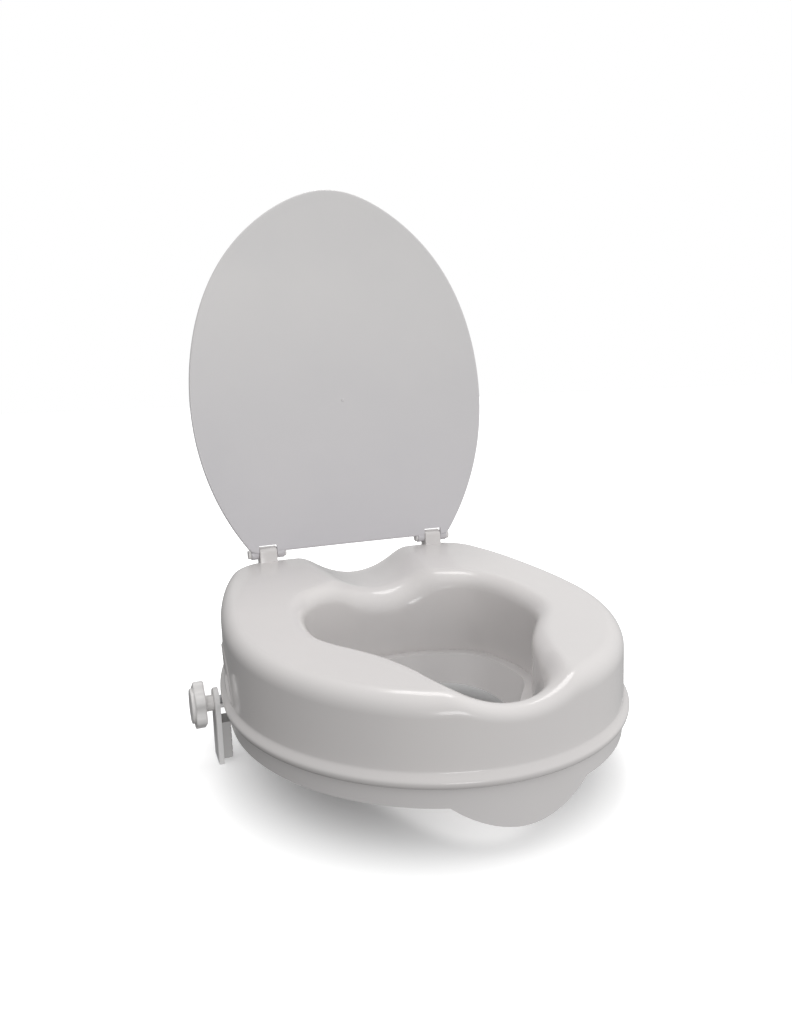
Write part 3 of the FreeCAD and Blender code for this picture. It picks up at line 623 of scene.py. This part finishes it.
def steel(name, colour, tint, gloss):
    """Plated steel: a patchy tone and fine turned lines."""
    made, nodes, links, shader = new_material(name)
    place = nodes.new("ShaderNodeTexCoord")
    patch = noise(nodes, links, 60.0, 4.0, place)
    tone = ramp(nodes, links, patch.outputs["Fac"], 0.3, 0.7, (colour, tint))
    links.new(tone.outputs["Color"], shader.inputs["Base Color"])
    stretch = nodes.new("ShaderNodeMapping")
    stretch.inputs["Scale"].default_value = (2400.0, 60.0, 60.0)
    links.new(place.outputs["Object"], stretch.inputs["Vector"])
    lines = nodes.new("ShaderNodeTexNoise")
    lines.inputs["Scale"].default_value = 1.0
    links.new(stretch.outputs["Vector"], lines.inputs["Vector"])
    bump = nodes.new("ShaderNodeBump")
    bump.inputs["Strength"].default_value = 0.12
    bump.inputs["Distance"].default_value = 0.1 * MM
    links.new(lines.outputs["Fac"], bump.inputs["Height"])
    links.new(bump.outputs["Normal"], shader.inputs["Normal"])
    shader.inputs["Metallic"].default_value = 1.0
    shader.inputs["Roughness"].default_value = gloss
    return made


def dress(made, material):
    made.data.materials.clear()
    made.data.materials.append(material)
    for face in made.data.polygons:
        face.material_index = 0


def dress_node(node, material):
    """A better material on a CAD node that is shown as it is."""
    for slot in frame["nodes"][node].material_slots:
        slot.material = material


# The lid's foot stands in shade, which a tint stands in for
LID_SHADE_HEIGHTS = (0.1, 0.42)
LID_SHADE = (0.78, 0.775, 0.81)


def make_materials():
    white = ((0.74, 0.715, 0.705), (0.72, 0.697, 0.69))
    lid = moulded("lid_plastic", (0.79, 0.775, 0.77), (0.77, 0.757, 0.755), (0.19, 0.265), 0.03,
                  coat=0.25)
    darken_low(lid, *LID_SHADE_HEIGHTS, LID_SHADE)
    return {
        "lid": lid,
        "shell": moulded("shell_plastic", *white, (0.16, 0.24), 0.03, coat=0.3),
        "ring": moulded("ring_plastic", (0.71, 0.69, 0.685), (0.69, 0.67, 0.665),
                        (0.19, 0.265), 0.04, coat=0.2),
        "pin": moulded("pin_plastic", (0.78, 0.765, 0.755), (0.75, 0.735, 0.73),
                       (0.35, 0.45), 0.08),
        "bracket": moulded("bracket_plastic", (0.9, 0.89, 0.885), (0.88, 0.87, 0.865),
                           (0.3, 0.42), 0.08),
        "knob": moulded("knob_plastic", (0.87, 0.855, 0.845), (0.845, 0.83, 0.82),
                        (0.28, 0.38), 0.08),
        "jaw": moulded("jaw_rubber", (0.6, 0.59, 0.585), (0.56, 0.55, 0.545),
                       (0.6, 0.75), 0.2, 700.0),
        "foot": moulded("foot_rubber", (0.36, 0.36, 0.36), (0.32, 0.32, 0.32),
                        (0.65, 0.8), 0.2, 700.0),
        "screw": steel("screw_steel", (0.56, 0.56, 0.57), (0.5, 0.5, 0.51), 0.32),
        "zinc": steel("zinc_steel", (0.6, 0.61, 0.63), (0.52, 0.53, 0.55), 0.38),
    }


NODE_MATERIALS = {
    "base_ring": "ring", "fixing_screws": "zinc",
    "hinge_pin_left": "pin", "hinge_pin_right": "pin",
    "hinge_cap_left": "pin", "hinge_cap_right": "pin",
    "clamp_bracket_left": "bracket", "clamp_bracket_right": "bracket",
    "clamp_pad_left": "jaw", "clamp_pad_right": "jaw",
    "clamp_knob_left": "knob", "clamp_knob_right": "knob",
    "knob_cap_left": "knob", "knob_cap_right": "knob",
    "clamp_screw_left": "screw", "clamp_screw_right": "screw",
    "clamp_nut_left": "screw", "clamp_nut_right": "screw",
    "screw_retainer_left": "screw", "screw_retainer_right": "screw",
    "rim_foot_front_left": "foot", "rim_foot_front_right": "foot",
    "rim_foot_rear_left": "foot", "rim_foot_rear_right": "foot",
}


# ---- Stage ------------------------------------------------------------------------------------

CAMERA_PLACE = (-0.26857, -0.66258, 0.29676)
CAMERA_RIGHT = (0.93162, -0.36177, -0.03472)
CAMERA_UP = (0.08684, 0.12883, 0.98786)
LENS = 27.05
SHIFT_X, SHIFT_Y = -0.0027, -0.0024
# Painted shadow on the floor: it glows less inside the first distance in metres than outside the
# second, so the ground under the seat and through its opening reads dark
FLOOR_PAINTED_SHADE_REACH = (0.13, 0.24)
FLOOR_GLOW = (0.02, 0.6)
WORLD_LEVEL = 0.5
WORLD_LEAN = (0.25, -0.12, 0.48)


def make_camera():
    data = bpy.data.cameras.new("camera")
    data.lens = LENS
    data.sensor_width = 36.0
    data.shift_x, data.shift_y = SHIFT_X, SHIFT_Y
    data.clip_start, data.clip_end = 0.01, 100.0
    camera = bpy.data.objects.new("camera", data)
    bpy.context.scene.collection.objects.link(camera)
    right, up = Vector(CAMERA_RIGHT), Vector(CAMERA_UP)
    back = right.cross(up)
    turn = Matrix((right, up, back)).transposed().to_4x4()
    camera.matrix_world = Matrix.Translation(CAMERA_PLACE) @ turn
    bpy.context.scene.camera = camera


def make_floor():
    reach, level_z = 30.0, cad_low.z
    corners = [(-reach, -reach), (reach, -reach), (reach, reach), (-reach, reach)]
    points = [(x / MM, y / MM, level_z / MM) for x, y in corners]
    floor = mesh_object("floor", points, [(0, 1, 2, 3)])
    paint, nodes, links, shader = new_material("floor_paint")
    shader.inputs["Base Color"].default_value = (0.95, 0.95, 0.95, 1)
    shader.inputs["Roughness"].default_value = 1.0
    shader.inputs["Specular IOR Level"].default_value = 0.0
    shader.inputs["Emission Color"].default_value = (1, 1, 1, 1)
    # Painted shadow: the floor's glow drops near the frame's middle, under the seat
    place = nodes.new("ShaderNodeTexCoord")
    away = nodes.new("ShaderNodeVectorMath")
    away.operation = "LENGTH"
    links.new(place.outputs["Object"], away.inputs[0])
    glow = nodes.new("ShaderNodeMapRange")
    glow.inputs["From Min"].default_value = FLOOR_PAINTED_SHADE_REACH[0]
    glow.inputs["From Max"].default_value = FLOOR_PAINTED_SHADE_REACH[1]
    glow.inputs["To Min"].default_value = FLOOR_GLOW[0]
    glow.inputs["To Max"].default_value = FLOOR_GLOW[1]
    links.new(away.outputs["Value"], glow.inputs["Value"])
    links.new(glow.outputs["Result"], shader.inputs["Emission Strength"])
    dress(floor, paint)
    floor.visible_diffuse = False
    floor.visible_glossy = False


def area_light(name, place, target, width, height, power, colour=(1, 1, 1)):
    data = bpy.data.lights.new(name, "AREA")
    data.shape = "RECTANGLE"
    data.size, data.size_y = width, height
    data.energy = power
    data.color = colour
    light = bpy.data.objects.new(name, data)
    bpy.context.scene.collection.objects.link(light)
    place, target = Vector(place), Vector(target)
    light.rotation_mode = "QUATERNION"
    light.rotation_quaternion = (target - place).to_track_quat("-Z", "Y")
    light.location = place


def make_world():
    """Soft light from all round, stronger from above and the object's left. It looks white."""
    world = bpy.data.worlds.new("studio")
    world.use_nodes = True
    nodes, links = world.node_tree.nodes, world.node_tree.links
    background = nodes["Background"]
    place = nodes.new("ShaderNodeTexCoord")
    lean = nodes.new("ShaderNodeVectorMath")
    lean.operation = "DOT_PRODUCT"
    lean.inputs[1].default_value = WORLD_LEAN
    links.new(place.outputs["Generated"], lean.inputs[0])
    glow = nodes.new("ShaderNodeMath")
    glow.operation = "ADD"
    glow.use_clamp = True
    glow.inputs[1].default_value = WORLD_LEVEL
    links.new(lean.outputs["Value"], glow.inputs[0])
    path = nodes.new("ShaderNodeLightPath")
    seen = nodes.new("ShaderNodeMath")
    seen.operation = "MAXIMUM"
    links.new(glow.outputs["Value"], seen.inputs[0])
    links.new(path.outputs["Is Camera Ray"], seen.inputs[1])
    links.new(seen.outputs["Value"], background.inputs["Strength"])
    background.inputs["Color"].default_value = (1, 1, 1, 1)
    bpy.context.scene.world = world


def make_lights():
    middle = (cad_low + cad_high) / 2
    area_light("overhead", (0.4, 0.5, 2.0), middle, 0.9, 0.9, 9, (1.0, 0.985, 0.975))
    area_light("front_fill", (-0.45, -2.15, 0.3), middle, 0.9, 0.6, 7)
    make_world()


def main():
    materials = make_materials()
    for node, material in NODE_MATERIALS.items():
        dress_node(node, materials[material])
    dress(make_shell(), materials["shell"])
    dress(make_lid(), materials["lid"])
    make_floor()
    make_lights()
    make_camera()
    bpy.context.scene.view_settings.view_transform = "Standard"


main()
